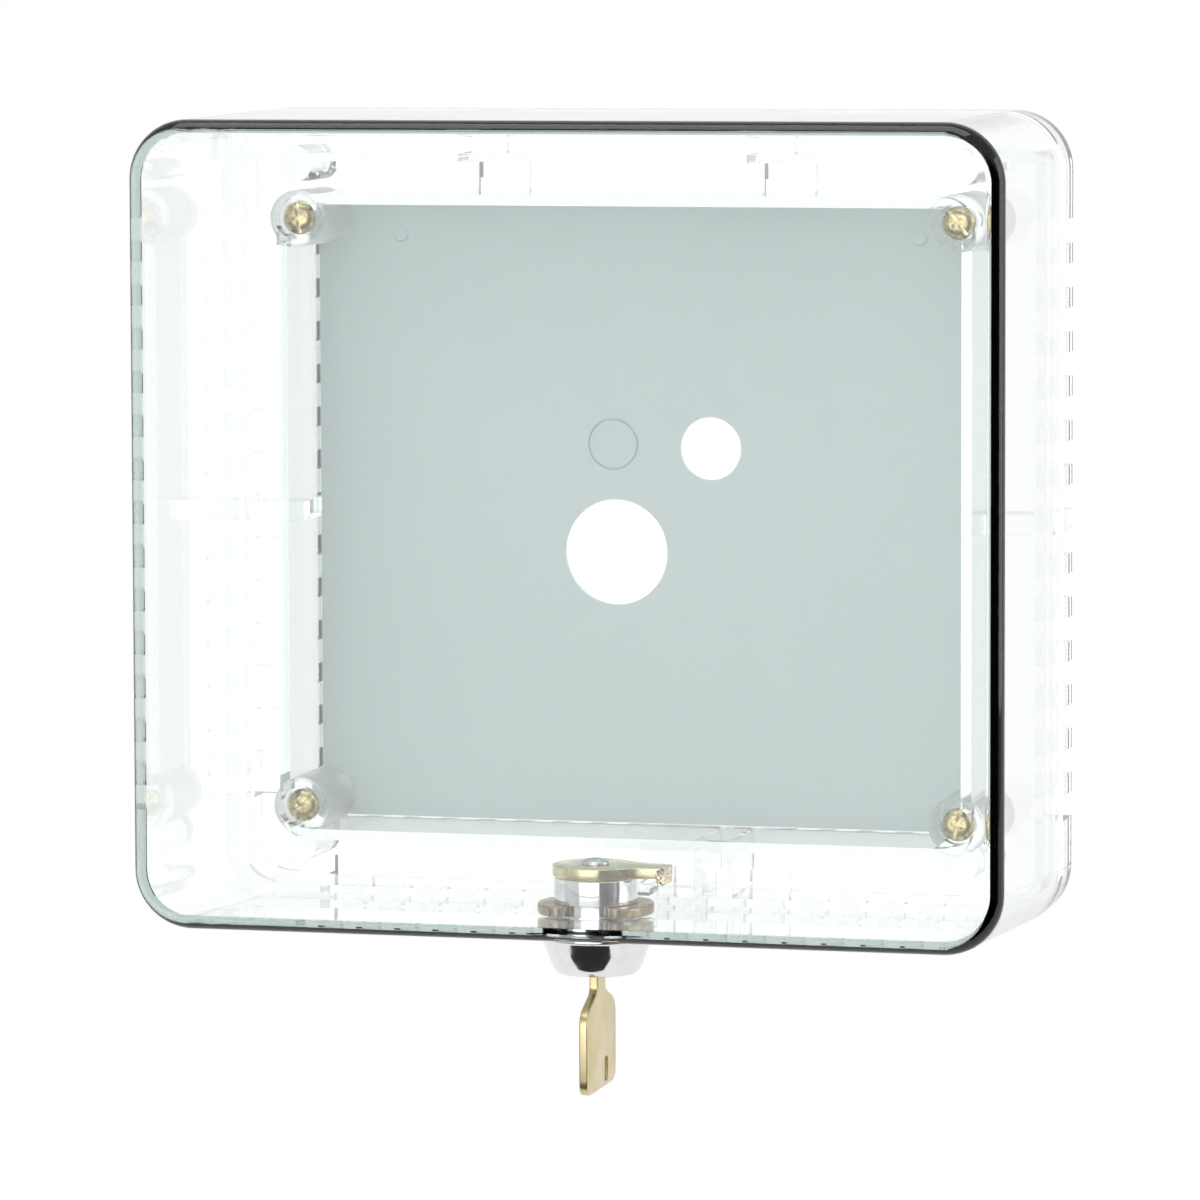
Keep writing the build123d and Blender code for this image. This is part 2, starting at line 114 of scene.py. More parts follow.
def newGroup(name, given, made):
    group = bpy.data.node_groups.new(name, "ShaderNodeTree")
    for label, value in given.items():
        kind = "NodeSocketColor" if isinstance(value, tuple) else "NodeSocketFloat"
        socket = group.interface.new_socket(label, in_out="INPUT", socket_type=kind)
        socket.default_value = value
    for label, kind in made.items():
        group.interface.new_socket(label, in_out="OUTPUT", socket_type=kind)
    return group, group.nodes.new("NodeGroupInput").outputs, group.nodes.new("NodeGroupOutput").inputs


def placeGroup(tree, group, values):
    placed = tree.nodes.new("ShaderNodeGroup")
    placed.node_tree = group
    for label, value in values.items():
        placed.inputs[label].default_value = value
    return placed.outputs


mould = {"waveDetail": 1.0, "scuffDetail": 4.0, "scuffFrom": 0.55, "scuffTo": 0.8}


def mouldFlow():  # slow waves of moulded plastic, and fine scuffs
    group, given, made = newGroup(
        "mouldFlow",
        {"Wave Size": 30.0, "Scuff Size": 900.0, "Scuff Share": 0.1},
        {"Height": "NodeSocketFloat", "Scuff": "NodeSocketFloat"})
    scuff = noiseStep(group, given["Scuff Size"], mould["scuffDetail"])
    scuff = rangeStep(group, scuff, mould["scuffFrom"], mould["scuffTo"])
    feed(group, made["Height"], noiseStep(group, given["Wave Size"], mould["waveDetail"]))
    feed(group, made["Scuff"], mathStep(group, "MULTIPLY", scuff, given["Scuff Share"]))
    return group


wear = {"patchDetail": 5.0, "patchFrom": 0.35, "patchTo": 0.7, "scratchSize": 1800.0, "scratchDetail": 3.0}


def metalWear():  # patches of tarnish, rougher where they lie, and fine scratches
    group, given, made = newGroup(
        "metalWear",
        {"Clean": (0.7, 0.6, 0.4, 1), "Tarnish": (0.3, 0.25, 0.15, 1), "Patch Size": 220.0,
         "Tarnish Share": 0.4, "Rough Low": 0.2, "Rough High": 0.4},
        {"Color": "NodeSocketColor", "Roughness": "NodeSocketFloat", "Height": "NodeSocketFloat"})
    patch = noiseStep(group, given["Patch Size"], wear["patchDetail"])
    patch = rangeStep(group, patch, wear["patchFrom"], wear["patchTo"])
    share = mathStep(group, "MULTIPLY", patch, given["Tarnish Share"])
    feed(group, made["Color"], mixColors(group, share, given["Clean"], given["Tarnish"]))
    feed(group, made["Roughness"], rangeStep(group, patch, 0.0, 1.0, given["Rough Low"], given["Rough High"]))
    feed(group, made["Height"], noiseStep(group, wear["scratchSize"], wear["scratchDetail"]))
    return group


# the bosses' centres and radii in metres; the grain fades in and out between the two values of each pair
boss = {"across": 0.073, "up": 0.0643, "middle": 0.0007, "outerR": (0.0064, 0.0062), "innerR": (0.0054, 0.0058),
        "grainDetail": 3.0}


def bossGrain():  # 1 on the grained sides of the four screw bosses, 0 elsewhere
    group, given, made = newGroup(
        "bossGrain",
        {"Across": boss["across"], "Up": boss["up"], "Middle": boss["middle"], "Grain Size": 1500.0},
        {"Mask": "NodeSocketFloat", "Height": "NodeSocketFloat"})
    place = group.nodes.new("ShaderNodeTexCoord")
    split = group.nodes.new("ShaderNodeSeparateXYZ")
    group.links.new(place.outputs["Object"], split.inputs["Vector"])
    across = mathStep(group, "ABSOLUTE", split.outputs["X"])
    across = mathStep(group, "SUBTRACT", across, given["Across"])
    up = mathStep(group, "SUBTRACT", split.outputs["Z"], given["Middle"])
    up = mathStep(group, "SUBTRACT", mathStep(group, "ABSOLUTE", up), given["Up"])
    across = mathStep(group, "MULTIPLY", across, across)
    up = mathStep(group, "MULTIPLY", up, up)
    distance = mathStep(group, "SQRT", mathStep(group, "ADD", across, up))
    mask = mathStep(group, "MULTIPLY", rangeStep(group, distance, *boss["outerR"]),
                    rangeStep(group, distance, *boss["innerR"]))
    grain = noiseStep(group, given["Grain Size"], boss["grainDetail"])
    feed(group, made["Mask"], mask)
    feed(group, made["Height"], mathStep(group, "MULTIPLY", mask, grain))
    return group


mouldGroup = mouldFlow()
wearGroup = metalWear()
grainGroup = bossGrain()


# clear moulded plastic
clearLook = {
    "tint": (0.985, 0.995, 0.99, 1),
    "ior": 1.53,
    "roughness": 0.015,
    "scuffShare": 0.03,
    "edgeTint": (0.72, 0.8, 0.78, 1),  # colour that long ways through the plastic take
    "edgeDensity": 22.0,
    "waveBump": 0.03,
    "waveDepth": 0.0004,
    "shadow": (0.93, 0.945, 0.94, 1),  # light that passes straight through one skin
    "glowTint": (0.93, 0.97, 0.97, 1),
    "glowLevel": 0.62,  # painted glow: the plastic emits this light itself once rays have wandered deep inside the walls
    "glowAfterDepth": 9.0,
    "grainSize": 1500.0,
    "grainRough": 0.45,
    "grainBump": 8.0,
    "coverWave": 28.0,
    "ringWave": 60.0,
}


def clearPlastic(name, waveSize, grained):
    material, tree, shader = newMaterial(name)
    shader.inputs["Base Color"].default_value = clearLook["tint"]
    shader.inputs["IOR"].default_value = clearLook["ior"]
    shader.inputs["Transmission Weight"].default_value = 1.0
    flow = placeGroup(tree, mouldGroup, {"Wave Size": waveSize, "Scuff Share": clearLook["scuffShare"]})
    rough = mathStep(tree, "ADD", flow["Scuff"], clearLook["roughness"])
    height = flow["Height"]
    if grained:
        grain = placeGroup(tree, grainGroup, {"Grain Size": clearLook["grainSize"]})
        rough = mathStep(tree, "MULTIPLY_ADD", grain["Mask"], clearLook["grainRough"], rough)
        height = mathStep(tree, "MULTIPLY_ADD", grain["Height"], clearLook["grainBump"], height)
    tree.links.new(rough, shader.inputs["Roughness"])
    addBump(tree, height, shader, clearLook["waveBump"], clearLook["waveDepth"])
    path = tree.nodes.new("ShaderNodeLightPath").outputs
    straight = tree.nodes.new("ShaderNodeBsdfTransparent")  # lamps reach the plate behind the cover
    straight.inputs["Color"].default_value = clearLook["shadow"]
    surface = mixShaders(tree, path["Is Shadow Ray"], shader.outputs["BSDF"], straight.outputs["BSDF"])
    # painted glow: past this ray depth the plastic emits a soft light of its own, in place of the light that
    # long paths inside the walls would carry
    deep = tree.nodes.new("ShaderNodeEmission")
    deep.inputs["Color"].default_value = clearLook["glowTint"]
    deep.inputs["Strength"].default_value = clearLook["glowLevel"]
    glowMask = mathStep(tree, "GREATER_THAN", path["Ray Depth"], clearLook["glowAfterDepth"])
    surface = mixShaders(tree, glowMask, surface, deep.outputs["Emission"])
    body = tree.nodes.new("ShaderNodeVolumeAbsorption")
    body.inputs["Color"].default_value = clearLook["edgeTint"]
    body.inputs["Density"].default_value = clearLook["edgeDensity"]
    output = tree.nodes["Material Output"]
    tree.links.new(surface, output.inputs["Surface"])
    tree.links.new(body.outputs["Volume"], output.inputs["Volume"])
    return material


coverPlastic = clearPlastic("coverPlastic", clearLook["coverWave"], False)
ringPlastic = clearPlastic("ringPlastic", clearLook["ringWave"], True)


# grey-green plate plastic
plateLook = {
    "color": (0.555, 0.648, 0.642, 1),
    "shade": (0.535, 0.63, 0.622, 1),
    "roughness": 0.42,
    "bump": 0.25,
    "bumpDepth": 0.0001,
    "surface": {"Wave Size": 18.0, "Scuff Size": 2200.0, "Scuff Share": 0.12},
}


def platePlastic():
    material, tree, shader = newMaterial("platePlastic")
    flow = placeGroup(tree, mouldGroup, plateLook["surface"])
    color = mixColors(tree, flow["Height"], plateLook["color"], plateLook["shade"])
    rough = mathStep(tree, "ADD", flow["Scuff"], plateLook["roughness"])
    tree.links.new(color, shader.inputs["Base Color"])
    tree.links.new(rough, shader.inputs["Roughness"])
    addBump(tree, flow["Scuff"], shader, plateLook["bump"], plateLook["bumpDepth"])
    return material


plateFinish = platePlastic()


# metals
metalLooks = {
    "screwZinc": {"clean": (0.62, 0.52, 0.27, 1), "tarnish": (0.2, 0.16, 0.08, 1), "patch": 700.0, "share": 0.8,
                  "rough": (0.16, 0.38), "bump": 0.12},
    "lockChrome": {"clean": (0.8, 0.8, 0.8, 1), "tarnish": (0.62, 0.62, 0.61, 1), "patch": 260.0, "share": 0.3,
                   "rough": (0.05, 0.14), "bump": 0.02},
    "clipBrass": {"clean": (0.4, 0.3, 0.18, 1), "tarnish": (0.16, 0.12, 0.08, 1), "patch": 500.0, "share": 0.8,
                  "rough": (0.25, 0.45), "bump": 0.1},
    "plugSteel": {"clean": (0.62, 0.62, 0.61, 1), "tarnish": (0.4, 0.4, 0.39, 1), "patch": 400.0, "share": 0.4,
                  "rough": (0.2, 0.35), "bump": 0.06},
    "camBrass": {"clean": (0.74, 0.66, 0.4, 1), "tarnish": (0.5, 0.42, 0.22, 1), "patch": 380.0, "share": 0.5,
                 "rough": (0.16, 0.3), "bump": 0.08},
    "camTeeth": {"clean": (0.86, 0.72, 0.52, 1), "tarnish": (0.42, 0.3, 0.18, 1), "patch": 900.0, "share": 0.5,
                 "rough": (0.08, 0.25), "bump": 0.2},
    "keyBrass": {"clean": (0.68, 0.58, 0.34, 1), "tarnish": (0.5, 0.42, 0.22, 1), "patch": 150.0, "share": 0.35,
                 "rough": (0.26, 0.38), "bump": 0.06},
}
scratchDepth = 0.0001


def metalFinish(name, look):
    material, tree, shader = newMaterial(name)
    shader.inputs["Metallic"].default_value = 1.0
    worn = placeGroup(tree, wearGroup, {
        "Clean": look["clean"], "Tarnish": look["tarnish"], "Patch Size": look["patch"],
        "Tarnish Share": look["share"], "Rough Low": look["rough"][0], "Rough High": look["rough"][1]})
    tree.links.new(worn["Color"], shader.inputs["Base Color"])
    tree.links.new(worn["Roughness"], shader.inputs["Roughness"])
    addBump(tree, worn["Height"], shader, look["bump"], scratchDepth)
    return material


metals = {name: metalFinish(name, look) for name, look in metalLooks.items()}
print("materials made")


# finishes on the parts that keep their CAD shape
finishes = {
    "wall_plate": plateFinish,
    "ring_base": ringPlastic,
    "lock_keeper": ringPlastic,
    "cover_shell": coverPlastic,
    "lock_plug": metals["plugSteel"],
}

for name, material in finishes.items():
    slots = nodes[name].data.materials
    if len(slots) == 0:
        slots.append(material)
    for i in range(len(slots)):
        slots[i] = material
print("finishes set")


# tools for the finer pieces; their sizes are in millimetres
mm = 0.001
lockY = -47.4  # the lock's axis
bezelLow = -93.956  # lowest face of the lock body


def softened(points, steps=4):  # each point is (across, along, round): its corner becomes a small curve
    line = []
    for i, (across, along, size) in enumerate(points):
        corner = Vector((across, along))
        if size <= 0:
            line.append(corner)
            continue
        before = Vector(points[i - 1][:2]) - corner
        after = Vector(points[(i + 1) % len(points)][:2]) - corner
        start = corner + before.normalized() * min(size, before.length / 2)
        stop = corner + after.normalized() * min(size, after.length / 2)
        for k in range(steps + 1):
            t = k / steps
            line.append(start * (1 - t) ** 2 + corner * 2 * t * (1 - t) + stop * t * t)
    return line


def arc(radius, start, sweep, steps):  # points of a round stretch
    turns = [start + sweep * k / steps for k in range(steps + 1)]
    return [(radius * math.cos(turn), radius * math.sin(turn)) for turn in turns]


def turned(line, segments, closed):  # turns a line of (radius, height) about Z
    bm = bmesh.new()
    rows = []
    for point in line:
        ring = []
        for k in range(segments):
            turn = 2 * math.pi * k / segments
            ring.append(bm.verts.new((point[0] * math.cos(turn), point[0] * math.sin(turn), point[1])))
        rows.append(ring)
    last = len(rows) if closed else len(rows) - 1
    for i in range(last):
        low, high = rows[i], rows[(i + 1) % len(rows)]
        for k in range(segments):
            n = (k + 1) % segments
            bm.faces.new((low[k], low[n], high[n], high[k]))
    bmesh.ops.remove_doubles(bm, verts=bm.verts, dist=0.001)
    bmesh.ops.dissolve_degenerate(bm, edges=bm.edges, dist=0.0005)
    bmesh.ops.recalc_face_normals(bm, faces=bm.faces)
    return bm


def cutPlate(outlines, thick, edge):  # flat plate with rounded edges: an outside line, then its holes
    curve = bpy.data.curves.new("outline", "CURVE")
    curve.dimensions = "2D"
    curve.fill_mode = "BOTH"
    curve.extrude = thick / 2 - edge
    curve.bevel_depth = edge
    curve.bevel_resolution = 2
    curve.offset = -edge
    for outline in outlines:
        spline = curve.splines.new("POLY")
        spline.points.add(len(outline) - 1)
        for point, (x, y) in zip(spline.points, outline):
            point.co = (x, y, 0, 1)
        spline.use_cyclic_u = True
    holder = bpy.data.objects.new("outline", curve)
    bpy.context.scene.collection.objects.link(holder)
    mesh = bpy.data.meshes.new_from_object(holder.evaluated_get(bpy.context.evaluated_depsgraph_get()))
    bm = bmesh.new()
    bm.from_mesh(mesh)
    bmesh.ops.remove_doubles(bm, verts=bm.verts, dist=0.001)
    bmesh.ops.recalc_face_normals(bm, faces=bm.faces)
    bpy.data.objects.remove(holder)
    bpy.data.curves.remove(curve)
    bpy.data.meshes.remove(mesh)
    return bm


def cutter(low, high, turn=0):  # block between two corners, turned about Z by degrees
    bm = bmesh.new()
    bmesh.ops.create_cube(bm, size=1.0)
    for vert in bm.verts:
        vert.co = Vector([vert.co[i] * (high[i] - low[i]) + (high[i] + low[i]) / 2 for i in range(3)])
    bmesh.ops.rotate(bm, verts=bm.verts, cent=(0, 0, 0), matrix=Matrix.Rotation(math.radians(turn), 3, "Z"))
    return bm


def objectFrom(name, bm):
    mesh = bpy.data.meshes.new(name)
    bm.to_mesh(mesh)
    bm.free()
    piece = bpy.data.objects.new(name, mesh)
    bpy.context.scene.collection.objects.link(piece)
    return piece


def carve(piece, bm, kind="DIFFERENCE"):  # cuts or joins a second shape, applied at once
    tool = objectFrom("tool", bm)
    change = piece.modifiers.new("carve", "BOOLEAN")
    change.operation = kind
    change.solver = "EXACT"
    change.object = tool
    mesh = bpy.data.meshes.new_from_object(piece.evaluated_get(bpy.context.evaluated_depsgraph_get()))
    piece.modifiers.clear()
    old = piece.data
    piece.data = mesh
    bpy.data.meshes.remove(old)
    bpy.data.objects.remove(tool)


def finishPiece(piece, place, material, body, replaced, sharpAngle=35):
    piece.data.transform(Matrix.Scale(mm, 4) @ place)
    piece.data.materials.clear()
    piece.data.materials.append(material)
    for polygon in piece.data.polygons:
        polygon.use_smooth = True
    piece.data.set_sharp_from_angle(angle=math.radians(sharpAngle))
    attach(piece, body)
    if replaced:
        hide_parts(replaced)


def onLock(height):  # a piece made about Z = 0, moved to this height on the lock's axis
    return Matrix.Translation((0, lockY, height))


# lock body: bezel below the cover, barrel above it
housing = {
    "pad": -85.556,  # underside of the cover's pad
    "clipLow": -80.979,
    "clipTop": -78.679,
    "top": -73.112,
    "bore": 6.25,
    "boreBevel": (0.45, 0.5),
    "endR": 8.9,
    "waistR": 10.25,
    "noseH": 3.2,
    "rimR": 12.0,
    "rimH": 0.8,
    "rimStep": (0.25, 0.95),
    "barrelR": 8.9,
    "barrelBevel": 0.35,
    "neckR": 7.8,
    "segments": 96,
    "sharpAngle": 28,
}


def makeHousing():
    pad, top, bore = housing["pad"], housing["top"], housing["bore"]
    clipLow, clipTop = housing["clipLow"], housing["clipTop"]
    rim, barrel, neck, bevel = housing["rimR"], housing["barrelR"], housing["neckR"], housing["barrelBevel"]
    line = softened([
        (bore, bezelLow + housing["boreBevel"][1], 0.1), (bore + housing["boreBevel"][0], bezelLow, 0.15),
        (housing["endR"], bezelLow, 1.5), (housing["waistR"], bezelLow + housing["noseH"], 1.4),
        (rim - housing["rimStep"][0], pad - housing["rimStep"][1], 0.2), (rim, pad - housing["rimH"], 0.1),
        (rim, pad, 0.08), (barrel, pad, 0.05), (barrel, clipLow, 0.1), (neck, clipLow, 0.05),
        (neck, clipTop, 0.05), (barrel, clipTop, 0.1), (barrel, top - bevel, 0.15),
        (barrel - bevel, top, 0.12), (bore, top, 0.08)])
    piece = objectFrom("lockBody", turned(line, housing["segments"], True))
    finishPiece(piece, onLock(0), metals["lockChrome"], "cover", "lock_housing",
                housing["sharpAngle"])


makeHousing()


# spring clip round the lock body, open to the front
clip = {"middle": -79.879, "thick": 2.2, "outerR": 12.4, "innerR": 7.95, "mouth": 6.5, "edge": 0.35,
        "curlR": 1.7, "curlEdge": 0.3, "curlSides": 24, "steps": 60}


def makeClip():
    middleR = (clip["outerR"] + clip["innerR"]) / 2
    half = clip["thick"] / 2
    front = -math.pi / 2
    turn = math.asin(clip["mouth"] / middleR)
    sweep = 2 * math.pi - 2 * turn
    outline = arc(clip["outerR"], front + turn, sweep, clip["steps"])
    outline += arc(clip["innerR"], front - turn, -sweep, clip["steps"])
    piece = objectFrom("lockClip", cutPlate([outline], clip["thick"], clip["edge"]))
    for side in (-1, 1):
        end = front + side * turn
        curl = turned(softened([(0, -half, 0), (clip["curlR"], -half, clip["curlEdge"]),
                                (clip["curlR"], half, clip["curlEdge"]), (0, half, 0)]),
                      clip["curlSides"], False)
        bmesh.ops.translate(curl, verts=curl.verts, vec=(middleR * math.cos(end), middleR * math.sin(end), 0))
        carve(piece, curl, "UNION")
    finishPiece(piece, onLock(clip["middle"]), metals["clipBrass"], "cover", "lock_clip")


makeClip()


# cam: disc, arm and rough toothed end
cam = {
    "low": -72.962,
    "thick": 2.3,
    "discR": 9.3,
    "discSteps": 72,
    "reach": 15.9,
    "endW": 8.0,
    "arm": ((8.6, 1.15), (10.6, 0.25), (14.3, -0.3)),  # how far out, and how much wider than the end
    "square": 2.6,
    "lipT": 2.0,
    "lipDrop": 1.4,
    "edge": 0.22,
    "teeth": 5,
    "teethCuts": 7,
    "rough": 0.42,
    "seed": 7,
    "teethSharp": 8,
}


def makeCam():
    half, square = cam["endW"] / 2, cam["square"]
    start = math.pi / 2 - math.asin((cam["discR"] - half) / cam["reach"])
    outline = arc(cam["discR"], start, 2 * math.pi - 2 * start, cam["discSteps"])
    outline += [(out, -half - wider) for out, wider in cam["arm"]]
    outline += [(out, half + wider) for out, wider in reversed(cam["arm"])]
    drive = [(-square, -square), (-square, square), (square, square), (square, -square)]
    piece = objectFrom("lockCam", cutPlate([outline, drive], cam["thick"], cam["edge"]))
    finishPiece(piece, onLock(cam["low"] + cam["thick"] / 2), metals["camBrass"], "lock_barrel",
                "lock_cam")


def makeCamTeeth():  # crushed, glittering end
    teeth = bmesh.new()
    bmesh.ops.create_cube(teeth, size=1.0)
    bmesh.ops.subdivide_edges(teeth, edges=teeth.edges, cuts=cam["teethCuts"], use_grid_fill=True)
    draw = random.Random(cam["seed"])
    inner = cam["reach"] - cam["lipT"]
    low = cam["low"] - cam["lipDrop"]
    high = cam["low"] + cam["thick"]
    for vert in teeth.verts:
        x, y, z = vert.co
        wave = cam["rough"] * abs(math.sin(cam["teeth"] * math.pi * (y + 0.5)))
        x = inner + (x + 0.5) * (cam["lipT"] - 0.1)
        dx, dy, dz = (draw.uniform(-0.5, 0.5) * cam["rough"] for _ in range(3))
        x = min(x + dx - wave * 0.5, cam["reach"])
        z = low + (z + 0.5) * (high - low) + dz
        vert.co = Vector((x, y * (cam["endW"] - 0.7) + dy, max(min(z, high), low)))
    piece = objectFrom("camTeeth", teeth)
    finishPiece(piece, onLock(0), metals["camTeeth"], "lock_barrel", None, cam["teethSharp"])


makeCam()
makeCamTeeth()


# screw that holds the cam
camScrew = {"seat": -70.662, "headR": 3.0, "headT": 1.3, "slotW": 0.8, "slotDeep": 0.7, "slotTurn": 25,
            "shankR": 1.5, "long": 5.0, "segments": 40}


def makeCamScrew():
    head, top, shank = camScrew["headR"], camScrew["headT"], camScrew["shankR"]
    low = -camScrew["long"] + top
    line = softened([(0, low, 0), (shank, low, 0.2), (shank, 0, 0.05), (head, 0, 0.15), (head, top * 0.45, 0.3),
                     (head * 0.6, top * 0.95, 1.0), (0, top, 0)])
    piece = objectFrom("camScrew", turned(line, camScrew["segments"], False))
    halfSlot = camScrew["slotW"] / 2
    carve(piece, cutter((-head - 1, -halfSlot, top - camScrew["slotDeep"]), (head + 1, halfSlot, top + 1)))
    place = onLock(camScrew["seat"]) @ Matrix.Rotation(math.radians(camScrew["slotTurn"]), 4, "Z")
    finishPiece(piece, place, metals["plugSteel"], "lock_barrel", "cam_screw")


makeCamScrew()


# key: bow with a slot, and a cut blade; widths are from its middle
keyShape = {
    "thick": 1.9,
    "blade": 3.3,
    "bow": 12.3,
    "bowH": 17.5,
    "neck": 7.5,
    "shoulder": 3.6,
    "bladeLong": 15.6,
    "tip": 1.4,
    "tipH": 1.7,
    "rounds": {"foot": 3.4, "bow": 3.2, "neck": 1.6, "cut": 0.15, "tip": 0.4, "tipSide": 0.3, "slot": 0.4},
    "cutFlat": 0.25,
    "cuts": ((2.6, 1.1), (5.4, 2.0), (8.2, 0.8), (11.0, 1.7)),  # place along the blade, and depth
    "slot": ((2.9, 1.0), (5.3, 6.2)),
    "edge": 0.3,
}


def makeKey():
    wide, thin, tipW, rounds = keyShape["bow"], keyShape["blade"], keyShape["tip"], keyShape["rounds"]
    bowTop = bezelLow - keyShape["neck"]
    foot = bowTop - keyShape["bowH"]
    neck = bowTop + keyShape["shoulder"]
    tip = bezelLow + keyShape["bladeLong"]
    side = tip - keyShape["tipH"]
    flat, small = keyShape["cutFlat"], rounds["cut"]
    corners = [(-wide, foot, rounds["foot"]), (wide, foot, rounds["foot"]), (wide, bowTop, rounds["bow"]),
               (thin, neck, rounds["neck"])]
    for along, deep in keyShape["cuts"]:
        at = bezelLow + along
        corners += [(thin, at - deep, small), (thin - deep, at - flat, small), (thin - deep, at + flat, small),
                    (thin, at + deep, small)]
    corners += [(thin, side, rounds["tipSide"]), (tipW, tip, rounds["tip"]), (-tipW, tip, rounds["tip"]),
                (-thin, side, rounds["tipSide"]), (-thin, neck, rounds["neck"]), (-wide, bowTop, rounds["bow"])]
    (left, low), (right, high) = keyShape["slot"]
    soft = rounds["slot"]
    slotHole = [(left, foot + low, soft), (left, foot + high, soft), (right, foot + high, soft),
                (right, foot + low, soft)]
    outline = [tuple(point) for point in softened(corners, 5)]
    hole = [tuple(point) for point in softened(slotHole)]
    piece = objectFrom("key", cutPlate([outline, hole], keyShape["thick"], keyShape["edge"]))
    turn = Matrix(((0, 0, 1, 0), (1, 0, 0, lockY), (0, 1, 0, 0), (0, 0, 0, 1)))  # plate's X to Y, its Y to Z
    finishPiece(piece, turn, metals["keyBrass"], "key", "key")


makeKey()


# wall screws: domed slotted heads, threads behind the wall face
wallScrew = {
    "places": ((-73.0, 65.0, 96), (73.0, 65.0, 128), (-73.0, -63.6, 40), (73.0, -63.6, 75)),  # x, z, turn
    "seat": 19.8,
    "headR": 3.6,
    "headT": 2.4,
    "headSides": 40,
    "slotW": 0.85,
    "slotDeep": 1.1,
    "crossW": 0.9,
    "crossLong": 3.0,
    "crossDeep": 1.3,
    "neckR": 2.1,
    "neckOut": 1.0,
    "coreR": 1.45,
    "crestR": 1.9,
    "out": 10.0,
    "tipLong": 2.6,
    "tipShare": 0.04,
    "pitch": 1.5,
    "threadSides": 28,
    "threadSteps": 90,
    "overlap": 0.3,
    "sharpAngle": 40,
}


def screwHead(slotTurn):
    seat, head, thick = wallScrew["seat"], wallScrew["headR"], wallScrew["headT"]
    neck, neckEnd, top = wallScrew["neckR"], -wallScrew["neckOut"], wallScrew["seat"] + wallScrew["headT"]
    line = softened([(0, neckEnd, 0), (neck, neckEnd, 0.1), (neck, seat, 0.1), (head, seat, 0.25),
                     (head, seat + 0.8, 0.6), (head * 0.72, seat + thick * 0.93, 1.3), (0, top, 0)], 5)
    piece = objectFrom("screwHead", turned(line, wallScrew["headSides"], False))
    slot, cross, across = wallScrew["slotW"] / 2, wallScrew["crossW"] / 2, wallScrew["crossLong"] / 2
    carve(piece, cutter((-head - 1, -slot, top - wallScrew["slotDeep"]), (head + 1, slot, top + 1), slotTurn))
    crossTurn = slotTurn + 90
    carve(piece, cutter((-across, -cross, top - wallScrew["crossDeep"]), (across, cross, top + 1), crossTurn))
    return piece


def addThread(bm):  # fine helix that ends in a point
    sides, steps, overlap = wallScrew["threadSides"], wallScrew["threadSteps"], wallScrew["overlap"]
    depth = wallScrew["out"] - wallScrew["neckOut"] + overlap
    core, rise = wallScrew["coreR"], wallScrew["crestR"] - wallScrew["coreR"]
    rows = []
    for i in range(steps + 1):
        height = -wallScrew["neckOut"] + overlap - depth * i / steps
        taper = max(min(1.0, (height + wallScrew["out"]) / wallScrew["tipLong"]), wallScrew["tipShare"])
        row = []
        for k in range(sides):
            turn = 2 * math.pi * k / sides
            phase = (height / wallScrew["pitch"] + k / sides) % 1.0
            radius = (core + rise * max(0.0, 1 - abs(phase - 0.5) * 4)) * taper
            row.append(bm.verts.new((radius * math.cos(turn), radius * math.sin(turn), height)))
        rows.append(row)
    for upper, lower in zip(rows, rows[1:]):
        for k in range(sides):
            n = (k + 1) % sides
            bm.faces.new((upper[k], lower[k], lower[n], upper[n]))
    bm.faces.new(rows[0])
    bm.faces.new(list(reversed(rows[-1])))


def makeWallScrews():
    whole = bmesh.new()
    for x, z, slotTurn in wallScrew["places"]:
        head = screwHead(slotTurn)
        bm = bmesh.new()
        bm.from_mesh(head.data)
        bpy.data.objects.remove(head)
        addThread(bm)
        bmesh.ops.recalc_face_normals(bm, faces=bm.faces)
        bm.transform(Matrix.Translation((x, 0, z)) @ Matrix.Rotation(math.radians(90), 4, "X"))
        part = bpy.data.meshes.new("part")
        bm.to_mesh(part)
        bm.free()
        whole.from_mesh(part)
        bpy.data.meshes.remove(part)
    piece = objectFrom("wallScrews", whole)
    finishPiece(piece, Matrix.Identity(4), metals["screwZinc"], "base", "mounting_screws",
                wallScrew["sharpAngle"])


makeWallScrews()
print("finer pieces made")


# studio, in metres
studio = {
    "floorZ": -0.42,
    "floorFront": -0.25,
    "backY": 1.3,
    "backTop": 2.6,
    "bend": 0.35,
    "bendSteps": 12,
    "halfWidth": 2.8,
    "floorColor": (0.86, 0.86, 0.86, 1),
    "floorRough": 0.9,
    "aim": (0, -0.04, 0),
    "lamps": {
        "frontLamp": {"at": (-0.13, -1.8, 0.2), "size": (1.9, 1.4), "power": 13.0},
        "sideLamp": {"at": (1.7, 0.25, 0.35), "size": (1.0, 1.2), "power": 6.0},
        "topLamp": {"at": (-0.1, -0.35, 1.4), "size": (1.3, 1.0), "power": 9.0},
    },
}


def stageMaterial():  # white to the camera, to metal and to clear plastic, plain pale for the light
    material, tree, shader = newMaterial("paleStage")
    shader.inputs["Base Color"].default_value = studio["floorColor"]
    shader.inputs["Roughness"].default_value = studio["floorRough"]
    white = tree.nodes.new("ShaderNodeEmission")
    white.inputs["Strength"].default_value = 1.0
    path = tree.nodes.new("ShaderNodeLightPath").outputs
    seen = mathStep(tree, "MAXIMUM", path["Is Camera Ray"], path["Is Glossy Ray"])
    seen = mathStep(tree, "MAXIMUM", seen, path["Is Transmission Ray"])
    surface = mixShaders(tree, seen, shader.outputs["BSDF"], white.outputs["Emission"])
    tree.links.new(surface, tree.nodes["Material Output"].inputs["Surface"])
    return material


